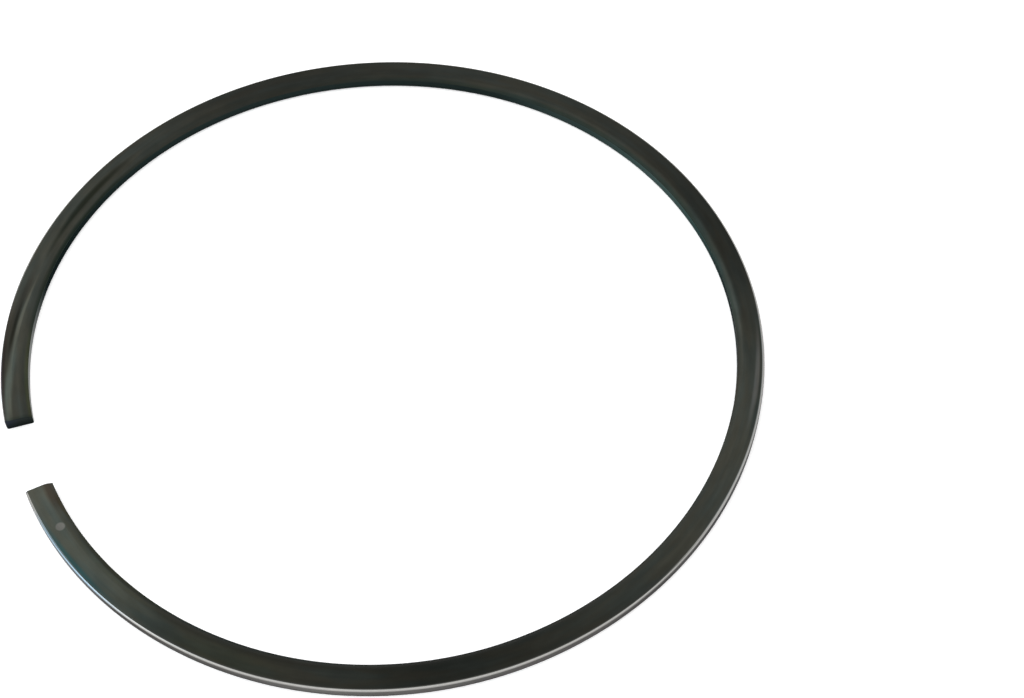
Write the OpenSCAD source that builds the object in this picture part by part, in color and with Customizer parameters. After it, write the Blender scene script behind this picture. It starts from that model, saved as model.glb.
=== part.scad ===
// Top compression ring of a piston, lying free on its bottom side. Millimetres.
// The gap is at -X and the back of the ring at +X. The top side faces +Z.

/* [Ring] */
// Bore of the cylinder, which is the outside diameter of the closed ring
bore_d = 86; // [70:0.5:110]
// Radial width of the section
ring_w = 3.1; // [2.4:0.05:4]
// Height of the section along the cylinder's axis
ring_h = 1.5; // [1.2:0.05:2.5]

/* [Gap] */
// Gap between the two ends with the ring free, at the middle of its width
free_gap = 9.6; // [6:0.1:14]
// Gap between the two ends with the ring closed in its bore
closed_gap = 0.3; // [0.15:0.05:0.6]
// Corner taken off where each end meets the running face
tip_break = 0.2; // [0.1:0.05:0.5]

/* [Section] */
// Fall of the barrel-shaped running face from its crown to the side faces
barrel_drop = 0.02; // [0.005:0.005:0.04]
// Chamfer along both edges of the running face
face_break = 0.2; // [0.05:0.01:0.3]
// Radial width of the inside bevel, on the top side only
bevel_w = 0.7; // [0.3:0.05:1]
// Depth of the inside bevel
bevel_h = 0.35; // [0.15:0.05:0.6]
// Chamfer along the bottom inside edge
inside_break = 0.15; // [0.05:0.05:0.3]

/* [Hidden] */
$fn = 360;

// Radius of the middle of the section with the ring closed
mean_r = (bore_d - ring_w) / 2;

// A ring that presses evenly all round its bore is bent so that, free, its curvature falls short
// of the closed one by the share k * (1 + cos(angle from the back)). The back half and the two
// arms each take the mean of that law, as arcs that meet on a common tangent.
function back_radius(k) = mean_r / (1 - k * (1 + 2 / PI));
function arm_radius(k) = mean_r / (1 - k * (1 - 2 / PI));
// The closed ring's length stays the same, so the arms get what the back's half turn leaves
function arm_length(k) = (PI * (2 * mean_r - back_radius(k)) - closed_gap) / 2;
function arm_angle(k) = arm_length(k) / arm_radius(k) * 180 / PI;
function gap_for(k) = 2 * (back_radius(k) - arm_radius(k) * (1 - cos(arm_angle(k))));
// The gap grows almost in step with k, so a few corrections in proportion settle it
function spring_for(k, turns) =
    turns == 0 ? k : spring_for(k * (free_gap - closed_gap) / (gap_for(k) - closed_gap), turns - 1);
spring = spring_for((free_gap - closed_gap) / (3 * PI * mean_r), 4);

// Radii of the middle of the section, in whole micrometres so that the arcs meet face to face
back_r = round(back_radius(spring) * 1000) / 1000;
arm_r = round(arm_radius(spring) * 1000) / 1000;
// The arms' centres lie this far to either side of the back's centre
arm_y = back_r - arm_r;
arm_turn = acos((free_gap / 2 - arm_y) / arm_r);

// Middle of the ring's box, between the back and the outside corners of the ends
box_x = (back_r + ring_w / 2 - (arm_r + ring_w / 2) * sin(arm_turn)) / 2;

// Radius of the barrel, from its fall over half the height
barrel_r = (pow(ring_h / 2, 2) + pow(barrel_drop, 2)) / (2 * barrel_drop);

// Takes a corner at the origin off the section, by a along x and b along y
module corner_cut(a, b) {
    polygon([[-a, -b], [2 * a, -b], [-a, 2 * b]]);
}

// Section of the ring about the middle of its width: x runs outward and y up
module section() {
    half = ring_w / 2;
    difference() {
        intersection() {
            translate([-half, 0]) square([ring_w, ring_h]);
            translate([half - barrel_r, ring_h / 2]) circle(r = barrel_r, $fn = 1440);
        }
        translate([half - barrel_drop, 0]) mirror([1, 0]) corner_cut(face_break, face_break);
        translate([half - barrel_drop, ring_h]) rotate(180) corner_cut(face_break, face_break);
        translate([-half, ring_h]) mirror([0, 1]) corner_cut(bevel_w, bevel_h);
        translate([-half, 0]) corner_cut(inside_break, inside_break);
    }
}

module arc(r, turn) {
    rotate_extrude(angle = turn) translate([r, 0]) section();
}

// Frame of the arm on the +Y side, at the angle a from where it leaves the back
module on_arm(a) {
    translate([0, arm_y, 0]) rotate([0, 0, 90 + a]) children();
}

// Corner between the end of an arm and its running face
module tip_cut() {
    side = tip_break * sqrt(2);
    translate([arm_r + ring_w / 2, 0, ring_h / 2]) rotate([0, 0, 45])
        cube([side, side, 2 * ring_h], center = true);
}

module piston_ring() {
    color([0.22, 0.23, 0.21]) translate([-box_x, 0, 0]) difference() {
        union() {
            rotate([0, 0, -90]) arc(back_r, 180);
            for (side = [0, 1]) mirror([0, side, 0]) on_arm(0) arc(arm_r, arm_turn);
        }
        for (side = [0, 1]) mirror([0, side, 0]) on_arm(arm_turn) tip_cut();
    }
}

piston_ring();
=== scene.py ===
"""Dresses a free piston ring: a swept mesh with rounded edges, finishes, a pale floor, light and camera."""

import math

import bpy
import numpy as np
from mathutils import Matrix, Vector


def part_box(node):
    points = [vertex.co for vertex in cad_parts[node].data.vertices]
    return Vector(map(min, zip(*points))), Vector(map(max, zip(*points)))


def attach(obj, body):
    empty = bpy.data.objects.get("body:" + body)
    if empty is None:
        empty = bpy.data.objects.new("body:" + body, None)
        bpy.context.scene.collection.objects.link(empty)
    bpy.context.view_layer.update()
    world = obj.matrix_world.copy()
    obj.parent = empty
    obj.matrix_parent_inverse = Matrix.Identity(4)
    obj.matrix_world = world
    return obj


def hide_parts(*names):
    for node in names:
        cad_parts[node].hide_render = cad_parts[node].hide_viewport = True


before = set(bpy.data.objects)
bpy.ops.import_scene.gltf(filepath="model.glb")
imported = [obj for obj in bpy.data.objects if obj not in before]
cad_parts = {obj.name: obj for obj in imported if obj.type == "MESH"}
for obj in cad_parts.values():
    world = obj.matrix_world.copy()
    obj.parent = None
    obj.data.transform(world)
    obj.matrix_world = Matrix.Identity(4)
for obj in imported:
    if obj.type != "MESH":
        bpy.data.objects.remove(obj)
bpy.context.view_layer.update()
ring_low, ring_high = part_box("piston_ring")

MM = 0.001

# Driving sizes of the ring, in millimetres, as its solid has them
BORE_D = 86.0
RING_W = 3.1
RING_H = (ring_high.z - ring_low.z) / MM
FREE_GAP = 9.6
CLOSED_GAP = 0.3
BARREL_DROP = 0.02
FACE_BREAK = 0.2
BEVEL_W = 0.7
BEVEL_H = 0.35
INSIDE_BREAK = 0.15

# Roundings of the real edges, in millimetres
FACE_EDGE_R = 0.2
FOOT_EDGE_R = 0.12
BEVEL_BLEND_R = 1.5
SMALL_EDGE_R = 0.07
TIP_R = 0.2
END_EDGE_R = 0.06

# Top mark: a plain round dimple, placed along from the -Y end and across from the middle, in millimetres, and
# the power that shapes its flank
MARK_ALONG = 6.0
MARK_ACROSS = -0.05
MARK_R = 0.55
MARK_DEPTH = 0.05
MARK_FLANK = 1.5

# Fineness of the mesh, in millimetres, and the number of sections round the edges of each end
STATION_STEP = 0.3
MARK_STEP = 0.06
MARK_REACH = 1.2 * MARK_R
SUPPORT = 0.03
END_SECTIONS = 6

# How often the spring of the free ring is corrected until its gap is right
CORRECTIONS = 5


def free_form():
    """Radii of the back and the arms, and the arms' angle, from the closed ring and its free gap."""
    mean_r = (BORE_D - RING_W) / 2
    opened = FREE_GAP - CLOSED_GAP
    spring = opened / (3 * math.pi * mean_r)
    for _ in range(CORRECTIONS):
        back = mean_r / (1 - spring * (1 + 2 / math.pi))
        arm = mean_r / (1 - spring * (1 - 2 / math.pi))
        turn = (math.pi * (2 * mean_r - back) - CLOSED_GAP) / 2 / arm
        gap = 2 * (back - arm * (1 - math.cos(turn)))
        spring *= opened / (gap - CLOSED_GAP)
    turn = math.acos((FREE_GAP / 2 - (back - arm)) / arm)
    return back, arm, turn


BACK_R, ARM_R, ARM_TURN = free_form()
ARM_Y = BACK_R - ARM_R
RING_LENGTH = math.pi * BACK_R + 2 * ARM_R * ARM_TURN
# Middle of the ring's box, between its back and the outside corners of its ends
BOX_X = (BACK_R + RING_W / 2 - (ARM_R + RING_W / 2) * math.sin(ARM_TURN)) / 2


def path(along):
    """Points on the middle of the ring and its outward normals, at distances along it from the -Y end."""
    from_back = along - RING_LENGTH / 2
    side = np.where(from_back < 0, -1.0, 1.0)
    reach = np.abs(from_back)
    quarter = math.pi / 2 * BACK_R
    on_back = reach <= quarter
    angle = np.where(on_back, reach / BACK_R, math.pi / 2 + (reach - quarter) / ARM_R)
    x = np.where(on_back, BACK_R, ARM_R) * np.cos(angle)
    y = np.where(on_back, 0.0, ARM_Y) + np.where(on_back, BACK_R, ARM_R) * np.sin(angle)
    points = np.stack([x - BOX_X, side * y], -1)
    normals = np.stack([np.cos(angle), side * np.sin(angle)], -1)
    return points, normals


# The inside bevel's slanting length, outward normal and distance from the middle of the bottom edge, and the
# parts of a normal at 45 degrees
HALF_W = RING_W / 2
BEVEL_LONG = math.hypot(BEVEL_W, BEVEL_H)
BEVEL_NORMAL = (-BEVEL_H / BEVEL_LONG, BEVEL_W / BEVEL_LONG)
BEVEL_REACH = -BEVEL_NORMAL[0] * HALF_W + BEVEL_NORMAL[1] * (RING_H - BEVEL_H)
SLANT = math.sqrt(0.5)
# The section's sides, anticlockwise from the bottom. Each has its finish, its outward normal, its distance
# from the middle of the bottom edge, how many points lie along it, and the radius and steps of the edge that
# ends it.
SIDES = [
    ("side", (0, -1), 0.0, 3, FOOT_EDGE_R, 6),
    ("running", (1, 0), HALF_W, 7, FACE_EDGE_R, 8),
    ("side", (0, 1), RING_H, 30, BEVEL_BLEND_R, 5),
    ("side", BEVEL_NORMAL, BEVEL_REACH, 2, SMALL_EDGE_R, 3),
    ("inside", (-1, 0), HALF_W, 3, SMALL_EDGE_R, 2),
    ("inside", (-SLANT, -SLANT), SLANT * (HALF_W - INSIDE_BREAK), 1, SMALL_EDGE_R, 2),
]
FINISHES = ["side", "running", "inside", "end"]


def heading(normal):
    return math.atan2(normal[1], normal[0])


def edge_arc(first, second, radius, steps):
    """Points of the rounded edge between two lines, each given as its outward normal and its distance."""
    corner = np.linalg.solve(np.array([first[0], second[0]]), [first[1], second[1]])
    start = heading(first[0])
    swing = (heading(second[0]) - start) % (2 * math.pi)
    middle = start + swing / 2
    centre = corner - radius / math.cos(swing / 2) * np.array([math.cos(middle), math.sin(middle)])
    angles = start + swing * np.linspace(0, 1, steps + 1)
    return centre + radius * np.stack([np.cos(angles), np.sin(angles)], -1)


def section(inset=0.0, tip_in=0.0):
    """Outline of the section, its sides moved in, the running face by tip_in more, and its finishes."""
    lines = [(normal, reach - inset - tip_in * max(normal[0], 0)) for _, normal, reach, *_ in SIDES]
    arcs = []
    for i, (_, _, _, _, edge_r, steps) in enumerate(SIDES):
        arcs.append(edge_arc(lines[i], lines[(i + 1) % len(SIDES)], max(edge_r - inset, SUPPORT), steps))
    outline = []
    finishes = []
    for i, (finish, _, _, between, _, _) in enumerate(SIDES):
        start, end = arcs[i - 1][-1], arcs[i][0]
        near = SUPPORT / max(np.linalg.norm(end - start), 4 * SUPPORT)
        shares = [0, *np.linspace(near, 1 - near, between + 2)]
        following = SIDES[(i + 1) % len(SIDES)][0]
        outline += [start + (end - start) * t for t in shares] + list(arcs[i][:-1])
        edge_finish = "running" if "running" in (finish, following) else finish
        finishes += [finish] * len(shares) + [edge_finish] * (len(arcs[i]) - 1)
    outline = np.array(outline)
    fall = BARREL_DROP * ((outline[:, 1] - RING_H / 2) / (RING_H / 2)) ** 2
    outline[:, 0] -= np.where(outline[:, 0] > HALF_W - tip_in - FACE_BREAK, fall, 0.0)
    return outline, finishes


def rounded(distance, radius):
    """How far a rounded edge lies in, at distances from the face that it ends in."""
    return radius - np.sqrt(radius ** 2 - np.clip(radius - distance, 0, None) ** 2)


def stations():
    """Distance along the ring, inset and tip inset of every section, from end to end."""
    depth = 1 - np.sin(np.linspace(0, math.pi / 2, END_SECTIONS))
    near = np.unique(np.round(np.concatenate([END_EDGE_R * depth, TIP_R * depth]), 6))
    rows = [(0.0, END_EDGE_R + SUPPORT, TIP_R)]
    rows += list(zip(near, rounded(near, END_EDGE_R), rounded(near, TIP_R)))
    far = [(RING_LENGTH - distance, inset, tip_in) for distance, inset, tip_in in reversed(rows)]
    count = round((RING_LENGTH - 2 * TIP_R) / STATION_STEP)
    middle = np.linspace(TIP_R, RING_LENGTH - TIP_R, count + 1)[1:-1]
    middle = middle[np.abs(middle - MARK_ALONG) > MARK_REACH + STATION_STEP / 2]
    at_mark = np.arange(MARK_ALONG - MARK_REACH, MARK_ALONG + MARK_REACH, MARK_STEP)
    middle = np.sort(np.concatenate([middle, at_mark]))
    return rows + [(distance, 0.0, 0.0) for distance in middle] + far


def dimple(along, outline):
    """Fall of the top face inside the mark, at the points of one section."""
    away = np.hypot(along - MARK_ALONG, outline[:, 0] - MARK_ACROSS) / MARK_R
    on_top = outline[:, 1] > RING_H - SUPPORT
    fall = MARK_DEPTH * (1 - np.clip(away, 0, 1) ** 2) ** MARK_FLANK
    return np.where(on_top & (away < 1), fall, 0.0)


# The unrolled surface is laid out in rows, with both ends beside each other above them, in millimetres
UV_ROWS = 5
UV_MARGIN = 0.4


def unrolled(along, around, row, girth):
    x = UV_MARGIN + STATION_STEP + along - row * RING_LENGTH / UV_ROWS
    return x, UV_MARGIN + row * (girth + UV_MARGIN) + around


def ring_points(rows):
    """Every section's points in space, and their places along, across and up the ring."""
    points, normals = path(np.array([row[0] for row in rows]))
    verts = []
    places = []
    for i, (distance, inset, tip_in) in enumerate(rows):
        outline, _ = section(inset, tip_in)
        flat = points[i] + normals[i] * outline[:, :1]
        verts.append(np.column_stack([flat, outline[:, 1] - dimple(distance, outline)]))
        places.append(np.column_stack([np.full(len(outline), distance), outline]))
    return np.concatenate(verts), np.concatenate(places)


def ring_faces(rows):
    """The faces between the sections and over both ends, with each one's finish and its unrolled corners."""
    along = [row[0] for row in rows]
    outline, finishes = section()
    per = len(outline)
    steps = np.linalg.norm(np.roll(outline, -1, 0) - outline, axis=1)
    around = np.concatenate([[0], np.cumsum(steps)])
    girth = around[-1]
    faces = []
    slots = []
    uvs = []
    for i in range(len(rows) - 1):
        middle = (along[i] + along[i + 1]) / 2
        row = min(int(middle / RING_LENGTH * UV_ROWS), UV_ROWS - 1)
        to_end = min(middle, RING_LENGTH - middle)
        for j in range(per):
            k = (j + 1) % per
            faces.append((i * per + j, (i + 1) * per + j, (i + 1) * per + k, i * per + k))
            at_end = to_end < (TIP_R if finishes[j] == "running" else END_EDGE_R / 2)
            slots.append(FINISHES.index("end" if at_end else finishes[j]))
            for a, b in ((i, j), (i + 1, j), (i + 1, j + 1), (i, j + 1)):
                uvs.append(unrolled(along[a], around[b], row, girth))
    top = UV_MARGIN + UV_ROWS * (girth + UV_MARGIN)
    for station, order in ((0, list(range(per))), (len(rows) - 1, list(reversed(range(per))))):
        faces.append(tuple(station * per + j for j in order))
        slots.append(FINISHES.index("end"))
        shift = UV_MARGIN + HALF_W + (RING_W + UV_MARGIN if station else 0)
        uvs += [(shift + outline[j][0], top + outline[j][1]) for j in order]
    sheet = (RING_LENGTH / UV_ROWS + 2 * UV_MARGIN + 2 * STATION_STEP, top + RING_H + UV_MARGIN)
    return faces, slots, np.array(uvs) / sheet


def ring_mesh():
    """The ring's mesh, with its unrolled map and each point's place on the ring."""
    rows = stations()
    verts, places = ring_points(rows)
    faces, slots, uvs = ring_faces(rows)
    mesh = bpy.data.meshes.new("compression_ring")
    mesh.from_pydata((verts * MM).tolist(), [], faces)
    mesh.polygons.foreach_set("material_index", slots)
    mesh.polygons.foreach_set("use_smooth", [True] * len(faces))
    place = mesh.attributes.new("ring_place", "FLOAT_VECTOR", "POINT")
    place.data.foreach_set("vector", places.astype(np.float32).ravel())
    layer = mesh.uv_layers.new(name="OFBake")
    layer.uv.foreach_set("vector", uvs.astype(np.float32).ravel())
    mesh.update()
    return mesh


# The span that most of a noise lies in
NOISE_SPAN = (0.3, 0.7)
# Shares of an oval's half sizes between which its mask fades in
OVAL_FADE = (1.3, 0.3)


class Nodes:
    """Builds one material's node tree, with values or links given by socket."""

    def __init__(self, name):
        self.material = bpy.data.materials.new(name)
        self.material.use_nodes = True
        self.tree = self.material.node_tree
        self.shader = self.tree.nodes["Principled BSDF"]

    def put(self, socket, value):
        if isinstance(value, bpy.types.NodeSocket):
            self.tree.links.new(value, socket)
        else:
            socket.default_value = value

    def add(self, kind, values=None, output=0, **settings):
        made = self.tree.nodes.new("ShaderNode" + kind)
        for name, value in settings.items():
            setattr(made, name, value)
        for name, value in (values or {}).items():
            self.put(made.inputs[name], value)
        return made.outputs[output]

    def finish(self, **values):
        for name, value in values.items():
            self.put(self.shader.inputs[name.replace("_", " ")], value)
        return self.material

    def place(self):
        """Place on the ring in millimetres, as one vector and as its parts along, across and up."""
        place = self.add("Attribute", output=1, attribute_name="ring_place")
        parts = self.add("SeparateXYZ", {0: place}).node.outputs
        return place, parts[0], parts[1], parts[2]

    def noise(self, place, stretch, detail=3.0, rough=0.5):
        """Noise from 0 to 1, with stretch features in each unit of length along, across and up."""
        scaled = self.add("VectorMath", {0: place, 1: stretch}, operation="MULTIPLY")
        return self.add("TexNoise", {"Vector": scaled, "Scale": 1.0, "Detail": detail, "Roughness": rough})

    def lines(self, place, stretch):
        """Rougher noise, for fine lines drawn out along one direction."""
        return self.noise(place, stretch, detail=4.0, rough=0.6)

    def ramp(self, value, low, high, to_low=0.0, to_high=1.0, kind="SMOOTHSTEP"):
        values = {"Value": value, "From Min": low, "From Max": high, "To Min": to_low, "To Max": to_high}
        return self.add("MapRange", values, interpolation_type=kind)

    def spread(self, noise, to_low, to_high):
        """A noise drawn out smoothly between two values."""
        return self.ramp(noise, *NOISE_SPAN, to_low, to_high)

    def stretch(self, along, fades):
        """Mask of a stretch that fades in between the first two places and out between the last two."""
        return self.times(self.ramp(along, fades[0], fades[1]), self.ramp(along, fades[3], fades[2]))

    def stops(self, along, tones):
        """A grey that runs smoothly through tones, as pairs of a share of the ring's length and a grey."""
        grey = self.add("ValToRGB", {0: self.math("DIVIDE", along, RING_LENGTH)})
        ramp = grey.node.color_ramp
        ramp.interpolation = "EASE"
        for position, _ in tones[1:-1]:
            ramp.elements.new(position)
        for element, (position, tone) in zip(ramp.elements, tones):
            element.position = position
            element.color = (tone, tone, tone, 1)
        return grey

    def math(self, operation, *values):
        return self.add("Math", dict(enumerate(values)), operation=operation)

    def times(self, first, second):
        return self.math("MULTIPLY", first, second)

    def mix(self, share, first, second):
        return self.add("Mix", {0: share, 6: first, 7: second}, output=2, data_type="RGBA")

    def stain_and_painted_light(self, share, colour, factor):
        """The colour times a factor, where the share is 1."""
        values = {0: share, 6: colour, 7: (*factor, 1)}
        return self.add("Mix", values, output=2, data_type="RGBA", blend_type="MULTIPLY")

    def oval(self, along, across, middle, half, slant):
        """Mask of a soft oval, by its middle and half sizes along and across and by its slant."""
        x = self.math("MULTIPLY_ADD", along, 1 / half[0], -middle[0] / half[0])
        level = self.math("MULTIPLY_ADD", along, -slant, across)
        y = self.math("MULTIPLY_ADD", level, 1 / half[1], (slant * middle[0] - middle[1]) / half[1])
        away = self.add("VectorMath", {0: self.add("CombineXYZ", {0: x, 1: y})}, 1, operation="LENGTH")
        return self.ramp(away, *OVAL_FADE)

    def shade(self, colour, tone):
        return self.add("VectorMath", {0: colour, "Scale": tone}, operation="SCALE")

    def bump(self, height, strength, distance):
        return self.add("Bump", {"Height": height, "Strength": strength, "Distance": distance})


# Noises of the side faces, as features in each millimetre along, across and up
SIDE_LINES = (0.3, 24.0, 24.0)
SIDE_CLOUDS = (0.4, 0.9, 0.9)
SIDE_STREAKS = (0.06, 1.6, 1.6)
SIDE_TINTS = (0.15, 0.8, 0.8)
TINT_SPAN = (0.35, 0.65)
# How much lighter and darker streaks and clouds are, and how far the stains and painted light of the top side
# wander across with the streaks
MOTTLE = 0.07
WANDER = 0.12
WANDER_SPAN = (0.2, 0.8)
# Olive and charcoal that the tints mix, the painted glint on the outer edge, and the frosted mark
SIDE_COLOURS = (0.078, 0.079, 0.063, 1), (0.069, 0.079, 0.069, 1)
GLINT_COLOUR = (0.22, 0.23, 0.23, 1)
FROSTED_COLOUR = (0.110, 0.110, 0.101, 1)
# Distances from the mark's middle between which its frost fades in, and how much rougher the frost is
FROST_FADE = (1.1 * MARK_R, 0.7 * MARK_R)
FROST_ROUGH = 0.2
# Roughness that the lapped lines run between, and the strength and height of their bump, in metres
SIDE_ROUGH = (0.30, 0.40)
SIDE_BUMP = (0.08, 0.02 * MM)
# Heights between which the stains, the painted light and the painted glint fade in, so that they lie on the
# top side only
TOP_FADE = (0.3 * RING_H, 0.6 * RING_H)
# How light the side faces are along the ring, from the -Y end to the +Y end: painted reflection and painted
# shadow, lighter towards the ends and darker where shadows fall
SIDE_PAINTED_LIGHT = [
    (0.0, 0.66), (0.05, 0.54), (0.1, 0.29), (0.165, 0.245), (0.2, 0.16), (0.38, 0.50), (0.5, 0.22),
    (0.62, 0.34), (0.75, 0.25), (0.88, 0.45), (0.95, 0.48), (0.985, 0.40), (1.0, 0.37),
]
# The stretch where the bevel is lighter and greener, as where it fades in and out along the ring, the places
# across between which it fades in, and what the colour is multiplied with
GREEN_STRETCH = (110.0, 121.0, 128.0, 146.0)
GREEN_BEVEL = (-0.5, -1.08)
GREEN_FACTOR = (1.22, 1.36, 1.42)
# The stretch where a painted glint lies on the outer edge, and the places across between which it fades in
GLINT_STRETCH = (84.0, 94.0, 112.0, 121.0)
GLINT_EDGE = (1.22, 1.34)
# Stains, painted reflection streaks and painted shadows of the top side: the middle along and across, half
# sizes along and across, slant, and what the colour is multiplied with. A middle along below zero lies that
# far before the +Y end.
STAINS_AND_PAINTED_LIGHT = [
    ((14.0, 0.30), (14.0, 1.80), 0.0, (0.92, 1.00, 1.02)),
    ((1.5, -1.00), (2.6, 0.70), 0.0, (0.95, 0.79, 0.74)),
    ((3.6, -1.38), (2.6, 0.26), 0.0, (0.84, 0.72, 0.56)),
    ((11.0, 1.32), (6.5, 0.54), 0.0, (0.46, 0.95, 1.16)),
    ((14.0, -1.38), (10.0, 0.28), 0.0, (0.60, 0.58, 0.46)),
    ((14.5, -0.82), (8.0, 0.30), 0.0, (1.25, 1.22, 1.12)),
    ((31.0, 0.50), (7.0, 1.40), 0.0, (0.97, 0.96, 0.84)),
    ((32.0, -1.40), (16.0, 0.30), 0.0, (0.65, 0.72, 0.70)),
    ((108.5, 0.76), (7.0, 0.30), 0.027, (1.90, 1.82, 2.05)),
    ((107.0, 1.10), (10.0, 0.15), 0.02, (0.72, 0.80, 0.84)),
    ((109.0, -1.50), (9.0, 0.22), 0.0, (0.92, 0.80, 0.80)),
    ((118.0, -1.05), (9.0, 0.22), 0.0, (1.22, 1.17, 1.17)),
    ((148.0, -1.50), (44.0, 0.42), 0.0, (0.70, 0.90, 0.90)),
    ((-33.0, -0.28), (9.5, 0.50), 0.0, (0.30, 0.34, 0.28)),
    ((-13.5, 0.70), (9.0, 0.50), 0.06, (0.66, 0.60, 0.58)),
    ((-13.0, 0.49), (4.0, 0.27), 0.05, (0.46, 0.47, 0.42)),
    ((-14.5, -0.08), (6.0, 0.22), 0.05, (1.75, 1.72, 1.68)),
    ((-4.0, 0.66), (6.0, 0.52), 0.10, (1.90, 2.02, 2.02)),
    ((-8.5, 1.36), (9.0, 0.32), 0.0, (0.66, 0.54, 0.56)),
    ((-5.0, -1.40), (8.0, 0.30), 0.0, (1.20, 1.26, 0.90)),
    ((-26.0, -1.50), (20.0, 0.34), 0.0, (0.36, 0.48, 0.42)),
    ((-0.01, 0.00), (0.45, 3.00), 0.0, (0.70, 0.78, 0.78)),
]


def side_finish():
    """Dark nitrided side faces: charcoal with olive, teal and brown stains, painted reflection and shadow,
    and a painted glint on the outer edge, lapped along the ring.
    """
    n = Nodes("dark_side")
    place, along, across, up = n.place()
    lapped = n.lines(place, SIDE_LINES)
    cloud = n.noise(place, SIDE_CLOUDS)
    streak = n.noise(place, SIDE_STREAKS)
    wander = n.math("ADD", across, n.ramp(streak, *WANDER_SPAN, -WANDER, WANDER, "LINEAR"))
    on_top = n.ramp(up, *TOP_FADE)

    # Painted reflection and painted shadow: the side faces are painted lighter and darker along the ring as
    # light falls on them
    tone = n.stops(along, SIDE_PAINTED_LIGHT)
    streaks = n.spread(streak, 1 - MOTTLE, 1 + MOTTLE)
    clouds = n.spread(cloud, 1 - MOTTLE, 1 + MOTTLE)
    colour = n.mix(n.ramp(n.noise(place, SIDE_TINTS), *TINT_SPAN), *SIDE_COLOURS)
    green = n.times(n.stretch(along, GREEN_STRETCH), n.ramp(across, *GREEN_BEVEL))
    colour = n.stain_and_painted_light(green, colour, GREEN_FACTOR)
    # Stains, with painted reflection streaks and painted shadows, on the top side
    for middle, half, slant, factor in STAINS_AND_PAINTED_LIGHT:
        middle = (middle[0] % RING_LENGTH, middle[1])
        colour = n.stain_and_painted_light(n.times(n.oval(along, wander, middle, half, slant), on_top), colour, factor)
    colour = n.shade(colour, n.times(tone, n.times(streaks, clouds)))
    # Painted glint: the outer edge is painted bright where its rounding catches the light
    glint = n.times(n.stretch(along, GLINT_STRETCH), n.ramp(across, *GLINT_EDGE))
    colour = n.mix(n.times(glint, on_top), colour, GLINT_COLOUR)

    from_mark = n.add("VectorMath", {0: place, 1: (MARK_ALONG, MARK_ACROSS, RING_H)}, 1, operation="DISTANCE")
    frosted = n.ramp(from_mark, *FROST_FADE)
    colour = n.mix(frosted, colour, FROSTED_COLOUR)
    return n.finish(
        Base_Color=colour,
        Metallic=1.0,
        Roughness=n.math("ADD", n.spread(lapped, *SIDE_ROUGH), n.times(frosted, FROST_ROUGH)),
        Normal=n.bump(lapped, *SIDE_BUMP),
    )


# Noises of the running face, as features in each millimetre along, across and up
FACE_LINES = (0.25, 30.0, 30.0)
FACE_CLOUDS = (0.08, 0.6, 0.6)
# Roughness that the lapped lines run between, and the strength and height of their bump, in metres
FACE_ROUGH = (0.22, 0.32)
FACE_BUMP = (0.06, 0.02 * MM)
# Colours of the running face and of the highlight painted near white on its top edge, as pairs that the
# clouds mix, and of what laps over it
FACE_COLOURS = (0.142, 0.138, 0.134, 1), (0.188, 0.183, 0.177, 1)
HIGHLIGHT_COLOURS = (0.95, 0.94, 0.90, 1), (1.0, 0.99, 0.95, 1)
LAPPED_COLOUR = (0.034, 0.035, 0.031, 1)
# How light the painted highlight on the top edge is along the ring, from the -Y end to the +Y end
HIGHLIGHT_TONES = [
    (0.0, 0.36), (0.02, 0.42), (0.045, 0.60), (0.07, 0.60), (0.1, 0.47), (0.14, 0.40), (0.27, 0.38),
    (0.34, 0.34), (0.43, 0.34), (0.5, 0.46), (0.9, 0.46), (0.95, 0.20), (1.0, 0.20),
]
# Stretches where the painted highlight has a blue painted reflection, where the running face has a pale
# painted reflection and where it is darker, and where the dark of the top side laps over the edge, as where
# they fade in and out
BLUE_REFLECTION_STRETCH = (2.0, 6.0, 12.0, 21.0)
PALE_REFLECTION_STRETCH = (-2.0, -1.0, 5.0, 18.0)
DARKER_END_STRETCH = (RING_LENGTH - 26, RING_LENGTH - 12, RING_LENGTH + 1, RING_LENGTH + 2)
LAPPED_STRETCH = (-8.0, 14.0, 78.0, 90.0)
# What colours are multiplied with: the painted highlight where it has the blue painted reflection, the face
# where it is darker near the +Y end and below the painted glint
BLUE_REFLECTION_FACTOR = (0.78, 1.08, 1.34)
DARKER_END_FACTOR = (0.30, 0.28, 0.28)
GLINT_FACE_FACTOR = (0.40, 0.40, 0.42)
# The face's colour where it has the pale painted reflection, the foot's colours, a painted shadow where the
# face is plain and a pale painted reflection where it is pale, and the heights between which the painted foot
# fades out
PALE_REFLECTION_COLOUR = (0.24, 0.27, 0.30, 1)
FOOT_SHADOW_AND_REFLECTION = (0.05, 0.05, 0.052, 1), (0.20, 0.22, 0.24, 1)
FOOT_SHADOW_FADE = (FOOT_EDGE_R, 2.5 * FOOT_EDGE_R)
# Distances below the top between which the painted highlight fades in, and between which the dark of the top
# side does
HIGHLIGHT_LOW = (0.48, 0.38)
HIGHLIGHT_HIGH = (0.06, 0.025)
# How much higher the painted highlight starts where the painted glint lies on the outer edge
HIGHLIGHT_LIFT = 0.34
# Tint of the running and inside faces at grazing angles
GRAZING_TINT = (0.3, 0.3, 0.3, 1)


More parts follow.
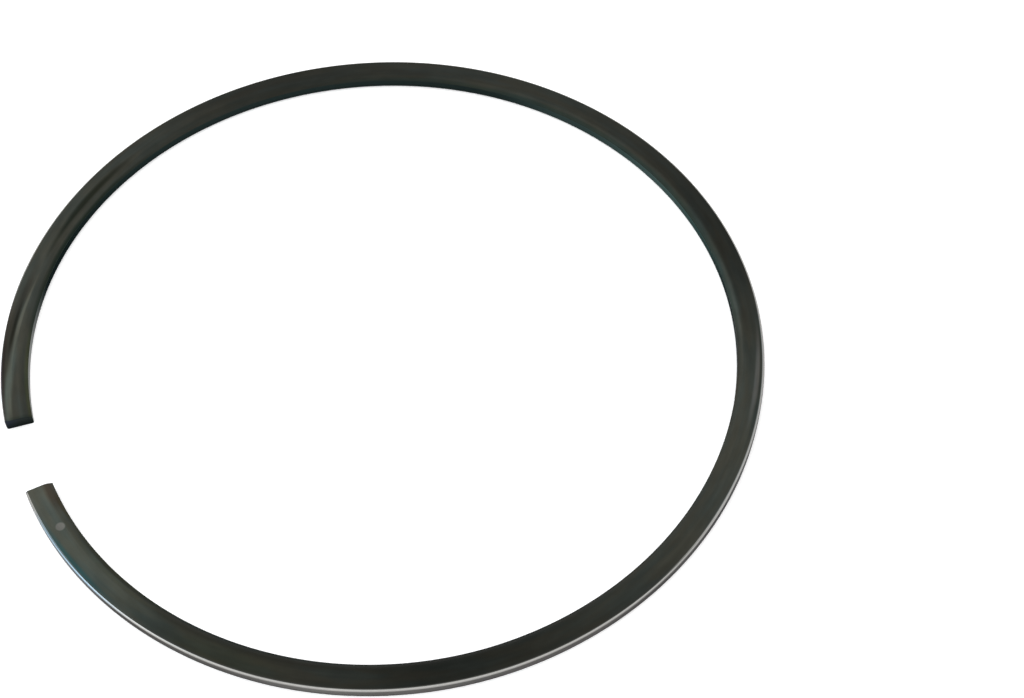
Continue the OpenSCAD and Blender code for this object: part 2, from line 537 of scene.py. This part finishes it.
def running_finish():
    """Grey running face with a highlight painted on its top edge, painted reflections and painted shadow
    along its foot, lapped along the ring.
    """
    n = Nodes("running_face")
    place, along, _, up = n.place()
    lapped = n.lines(place, FACE_LINES)
    broad = n.spread(n.noise(place, FACE_CLOUDS), 0.0, 1.0)
    pale = n.stretch(along, PALE_REFLECTION_STRETCH)
    darker_end = n.stretch(along, DARKER_END_STRETCH)
    glint = n.stretch(along, GLINT_STRETCH)
    # Pale bluish painted reflection on the face near the -Y end
    face = n.mix(pale, n.mix(broad, *FACE_COLOURS), PALE_REFLECTION_COLOUR)
    # The face and the top of its edge are darker near the +Y end
    face = n.stain_and_painted_light(darker_end, face, DARKER_END_FACTOR)
    # The face is darker below the painted glint
    face = n.stain_and_painted_light(glint, face, GLINT_FACE_FACTOR)
    # Painted shadow along the foot, with a pale painted reflection there near the -Y end
    face = n.mix(n.ramp(up, *FOOT_SHADOW_FADE), n.mix(pale, *FOOT_SHADOW_AND_REFLECTION), face)

    # Painted highlight: the top edge is painted near white, with a blue painted reflection near the -Y end
    edge = n.stain_and_painted_light(n.stretch(along, BLUE_REFLECTION_STRETCH), n.mix(broad, *HIGHLIGHT_COLOURS), BLUE_REFLECTION_FACTOR)
    edge = n.shade(edge, n.stops(along, HIGHLIGHT_TONES))
    dark = n.math("ADD", n.stretch(along, LAPPED_STRETCH), darker_end)
    dark = n.times(dark, n.ramp(up, RING_H - HIGHLIGHT_HIGH[0], RING_H - HIGHLIGHT_HIGH[1]))
    edge = n.mix(dark, edge, LAPPED_COLOUR)
    lifted = n.math("MULTIPLY_ADD", glint, -HIGHLIGHT_LIFT, up)
    colour = n.mix(n.ramp(lifted, RING_H - HIGHLIGHT_LOW[0], RING_H - HIGHLIGHT_LOW[1]), face, edge)
    return n.finish(
        Base_Color=colour,
        Specular_Tint=GRAZING_TINT,
        Metallic=1.0,
        Roughness=n.spread(lapped, *FACE_ROUGH),
        Normal=n.bump(lapped, *FACE_BUMP),
    )


# Drawn lines of the inside face, as features in each millimetre, and the colours they mix, dark, and bright
# as a painted reflection
INSIDE_LINES = (0.2, 12.0, 12.0)
INSIDE_COLOURS = (0.060, 0.096, 0.092, 1), (0.080, 0.116, 0.110, 1)
BRIGHT_REFLECTION_COLOURS = (0.24, 0.25, 0.24, 1), (0.38, 0.39, 0.38, 1)
# Roughness that the drawn lines run between, and the strength and height of their bump, in metres
INSIDE_ROUGH = (0.40, 0.55)
INSIDE_BUMP = (0.12, 0.03 * MM)
# How light the inside face is along the ring, from the -Y end to the +Y end, as painted reflection and
# painted shade, and where it has a bright painted reflection
INSIDE_PAINTED_LIGHT = [
    (0.0, 0.50), (0.45, 0.38), (0.53, 0.85), (0.6, 0.42), (0.65, 0.18), (0.88, 0.24), (1.0, 0.30),
]
BRIGHT_REFLECTION_STRETCH = (RING_LENGTH - 21, RING_LENGTH - 8, RING_LENGTH + 1, RING_LENGTH + 2)


def inside_finish():
    """Dull dark inside face, drawn along the ring, with painted reflection and shade along it and a bright
    painted reflection near the +Y end.
    """
    n = Nodes("dark_inside")
    place, along, _, _ = n.place()
    drawn = n.lines(place, INSIDE_LINES)
    # Painted reflection and painted shade along the inside face, and a bright painted reflection near the +Y
    # end
    colour = n.shade(n.mix(drawn, *INSIDE_COLOURS), n.stops(along, INSIDE_PAINTED_LIGHT))
    colour = n.mix(n.stretch(along, BRIGHT_REFLECTION_STRETCH), colour, n.mix(drawn, *BRIGHT_REFLECTION_COLOURS))
    return n.finish(
        Base_Color=colour,
        Specular_Tint=GRAZING_TINT,
        Metallic=1.0,
        Roughness=n.spread(drawn, *INSIDE_ROUGH),
        Normal=n.bump(drawn, *INSIDE_BUMP),
    )


# Ground lines of the ends, as features in each millimetre, and how much lighter and darker they are
END_LINES = (4.0, 18.0, 1.2)
END_MOTTLE = 0.15
# Roughness that the ground lines run between, and the strength and height of their bump, in metres
END_ROUGH = (0.40, 0.55)
END_BUMP = (0.15, 0.03 * MM)
# Colours of the ends at the foot and at the top, and the height that the foot's colour reaches up to
END_COLOURS = (0.001, 0.004, 0.003, 1), (0.010, 0.014, 0.013, 1)
END_FOOT = 0.3
# Blue cast of the ends: what the colour is multiplied with, and the places across between which it fades in
END_FACTOR = (1.25, 1.20, 2.00)
END_CAST = (-0.3, 1.4)


def end_finish():
    """Ground butt ends, almost black, with a blue cast towards the running face."""
    n = Nodes("dark_end")
    place, _, across, up = n.place()
    ground = n.lines(place, END_LINES)
    colour = n.mix(n.ramp(up, END_FOOT, RING_H), *END_COLOURS)
    colour = n.stain_and_painted_light(n.ramp(across, *END_CAST), colour, END_FACTOR)
    colour = n.shade(colour, n.spread(ground, 1 - END_MOTTLE, 1 + END_MOTTLE))
    return n.finish(
        Base_Color=colour,
        Specular_IOR_Level=0.03,
        Roughness=n.spread(ground, *END_ROUGH),
        Normal=n.bump(ground, *END_BUMP),
    )


# Grain of the floor, as features in each metre, and the colours that it mixes
FLOOR_GRAIN = (90.0, 90.0, 90.0)
FLOOR_COLOURS = (0.93, 0.93, 0.93, 1), (0.95, 0.95, 0.95, 1)


def floor_finish():
    """Plain pale studio floor."""
    n = Nodes("pale_floor")
    grain = n.noise(n.add("TexCoord", output=3), FLOOR_GRAIN, detail=2.0)
    colour = n.mix(grain, *FLOOR_COLOURS)
    return n.finish(Base_Color=colour, Roughness=0.85, Emission_Color=(1, 1, 1, 1), Emission_Strength=0.25)


def new_object(name, data):
    made = bpy.data.objects.new(name, data)
    bpy.context.scene.collection.objects.link(made)
    return made


def make_ring():
    ring = new_object("compression_ring", ring_mesh())
    makers = {"side": side_finish, "running": running_finish, "inside": inside_finish, "end": end_finish}
    for finish in FINISHES:
        ring.data.materials.append(makers[finish]())
    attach(ring, "root")
    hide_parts("piston_ring")


# The floor lies just under the ring, so that the two faces don't share a plane
FLOOR_HALF = 3.0
FLOOR_BELOW = 0.01 * MM


def make_floor():
    h = FLOOR_HALF
    z = ring_low.z - FLOOR_BELOW
    mesh = bpy.data.meshes.new("floor")
    mesh.from_pydata([(-h, -h, z), (h, -h, z), (h, h, z), (-h, h, z)], [], [(0, 1, 2, 3)])
    floor = new_object("floor", mesh)
    floor.data.materials.append(floor_finish())


# The photograph's view, in degrees and metres, aimed right of the ring's middle and a little before it
VIEW_AZIMUTH = -22.06
VIEW_ELEVATION = 54.34
VIEW_DISTANCE = 219.99 * MM
AIM_RIGHT = 14.71 * MM
AIM_AWAY = -0.68 * MM
IMAGE_W = 1024
FOCAL_PIXELS = 1879.3
SENSOR_W = 36.0


def view_axes():
    """The view's level right and away directions, and the direction from the aim to the camera."""
    a = math.radians(VIEW_AZIMUTH)
    e = math.radians(VIEW_ELEVATION)
    right = Vector((math.cos(a), math.sin(a), 0))
    away = Vector((-math.sin(a), math.cos(a), 0))
    back = -away * math.cos(e) + Vector((0, 0, math.sin(e)))
    return right, away, back


def make_camera():
    right, away, back = view_axes()
    data = bpy.data.cameras.new("camera")
    data.sensor_fit = "HORIZONTAL"
    data.sensor_width = SENSOR_W
    data.lens = FOCAL_PIXELS / IMAGE_W * SENSOR_W
    data.clip_start = 0.01
    camera = new_object("camera", data)
    eye = right * AIM_RIGHT + away * AIM_AWAY + back * VIEW_DISTANCE
    up = back.cross(right)
    turn = Matrix((right, up, back)).transposed()
    camera.matrix_world = Matrix.Translation(eye) @ turn.to_4x4()
    bpy.context.scene.camera = camera


# Soft square lights: the name, the place to the right, away and up by the view's level directions and the
# side length, in metres, and the power and colour
LIGHTS = [
    ("left_light", (-0.65, -0.35, 0.42), 0.4, 0.8, (0.78, 0.91, 1.0)),
    ("top_light", (-0.55, 0.35, 0.85), 0.6, 1.7, (1.0, 1.0, 1.0)),
]


def make_light(name, place, size, power, colour):
    """A soft light aimed at the ring."""
    right, away, _ = view_axes()
    data = bpy.data.lights.new(name, "AREA")
    data.shape = "SQUARE"
    data.size = size
    data.energy = power
    data.color = colour
    light = new_object(name, data)
    light.location = right * place[0] + away * place[1] + Vector((0, 0, place[2]))
    light.rotation_euler = (-light.location).to_track_quat("-Z", "Y").to_euler()


# Brightness of the white dome over the ring, at its foot and at its crown
DOME_FOOT = 0.95
DOME_CROWN = 1.4


def make_dome():
    world = bpy.data.worlds.new("studio")
    world.use_nodes = True
    tree = world.node_tree
    background = tree.nodes["Background"]
    background.inputs["Color"].default_value = (1.0, 1.0, 1.0, 1)
    toward = tree.nodes.new("ShaderNodeTexCoord")
    parts = tree.nodes.new("ShaderNodeSeparateXYZ")
    height = tree.nodes.new("ShaderNodeMapRange")
    height.inputs["To Min"].default_value = DOME_FOOT
    height.inputs["To Max"].default_value = DOME_CROWN
    tree.links.new(toward.outputs["Generated"], parts.inputs[0])
    tree.links.new(parts.outputs["Z"], height.inputs["Value"])
    tree.links.new(height.outputs[0], background.inputs["Strength"])
    bpy.context.scene.world = world


make_ring()
make_floor()
make_camera()
for light in LIGHTS:
    make_light(*light)
make_dome()
bpy.context.scene.view_settings.view_transform = "Standard"
